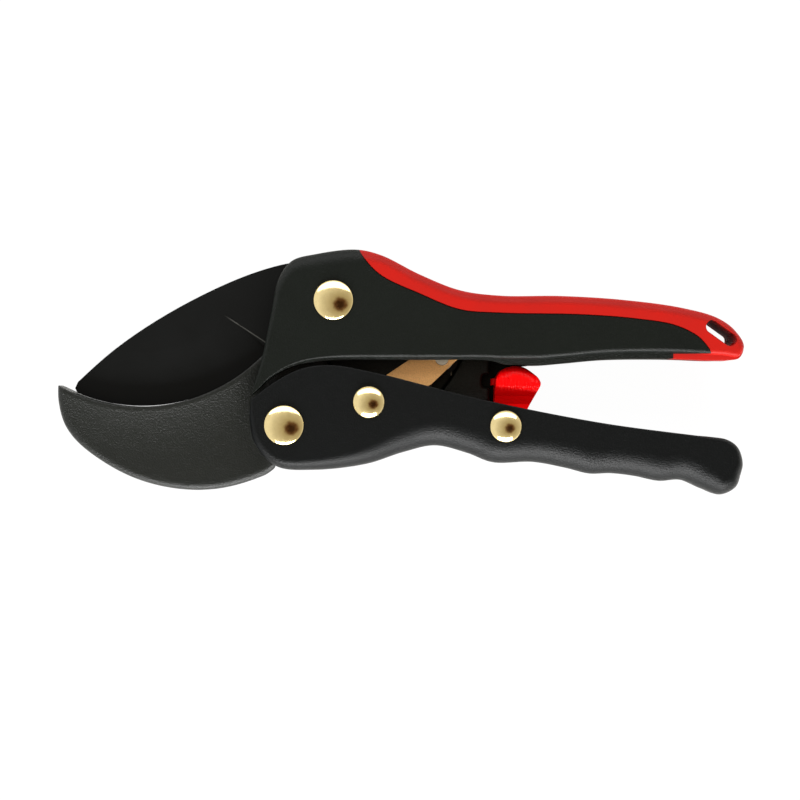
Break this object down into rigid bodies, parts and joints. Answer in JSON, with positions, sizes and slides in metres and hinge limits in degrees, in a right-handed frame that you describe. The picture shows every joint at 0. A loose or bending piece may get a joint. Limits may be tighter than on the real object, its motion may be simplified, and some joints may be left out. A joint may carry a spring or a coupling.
{
  "type": "pruning shears",
  "caption": "Hand pruning shears of the ratchet anvil type: a curved blade closes on a cast anvil jaw, with moulded handles and a thumb lock latch.",
  "frame": {"origin": "middle of the closed shears' outline, at the level of the flat rear faces that they lie on", "axes": "+X toward the handle ends, +Y from the lower handle to the upper handle, +Z out of the front, where the rivet heads are"},
  "size_m": [0.2063, 0.0729, 0.0202],
  "materials": {
    "coated_casting": "fine textured dark grey coating",
    "black_nylon": "fine moulded texture",
    "red_grip": "smooth matte",
    "red_latch": "smooth gloss",
    "coated_blade": "satin non-stick coating",
    "nickel": "polished",
    "steel": "turned",
    "spring_steel": "drawn",
    "bronze": "satin bronze"
  },
  "bodies": {
    "frame": {"anvil_jaw": "coated_casting", "upper_handle": "black_nylon", "upper_grip": "red_grip", "blade_pivot_rivet": "nickel", "handle_pivot_rivet": "nickel", "rivet_washers_large": "steel", "blade_spacer": "steel", "blade_spring": "spring_steel"},
    "cutting_blade": {"blade": "coated_blade", "pivot_bush": "bronze", "blade_washer": "steel", "link_pivot_pin": "steel", "link_washer": "steel", "link_spring": "spring_steel"},
    "ratchet": {"ratchet_link": "bronze"},
    "squeeze_handle": {"lower_handle": "black_nylon", "ratchet_pin_rivet": "nickel", "latch_pivot_rivet": "nickel", "rivet_washers_small": "steel", "handle_washers": "steel", "latch_washers": "steel"},
    "latch": {"lock_latch": "red_latch"}
  },
  "joints": [
    {"name": "handle_pivot", "type": "hinge", "parent": "frame", "child": "squeeze_handle", "pos_m": [-0.0345, -0.0159, 0.009], "axis": [0, 0, -1], "range_deg": [0, 30]},
    {"name": "blade_pivot", "type": "hinge", "parent": "frame", "child": "cutting_blade", "pos_m": [-0.0198, 0.0213, 0.009], "axis": [0, 0, -1], "range_deg": [0, 30], "deforming": ["blade_spring"]},
    {"name": "ratchet_pivot", "type": "hinge", "parent": "cutting_blade", "child": "ratchet", "pos_m": [0.0126, 0.00405, 0.009], "axis": [0, 0, 1], "range_deg": [0, 84], "deforming": ["link_spring"]},
    {"name": "latch_pivot", "type": "hinge", "parent": "squeeze_handle", "child": "latch", "pos_m": [0.0315, -0.0162, 0.009], "axis": [0, 0, -1], "range_deg": [-6, 25]}
  ],
  "couplings": [
    {"joint": "blade_pivot", "follows": "handle_pivot", "ratio": 1},
    {"joint": "ratchet_pivot", "follows": "handle_pivot", "ratio": 2.8}
  ]
}
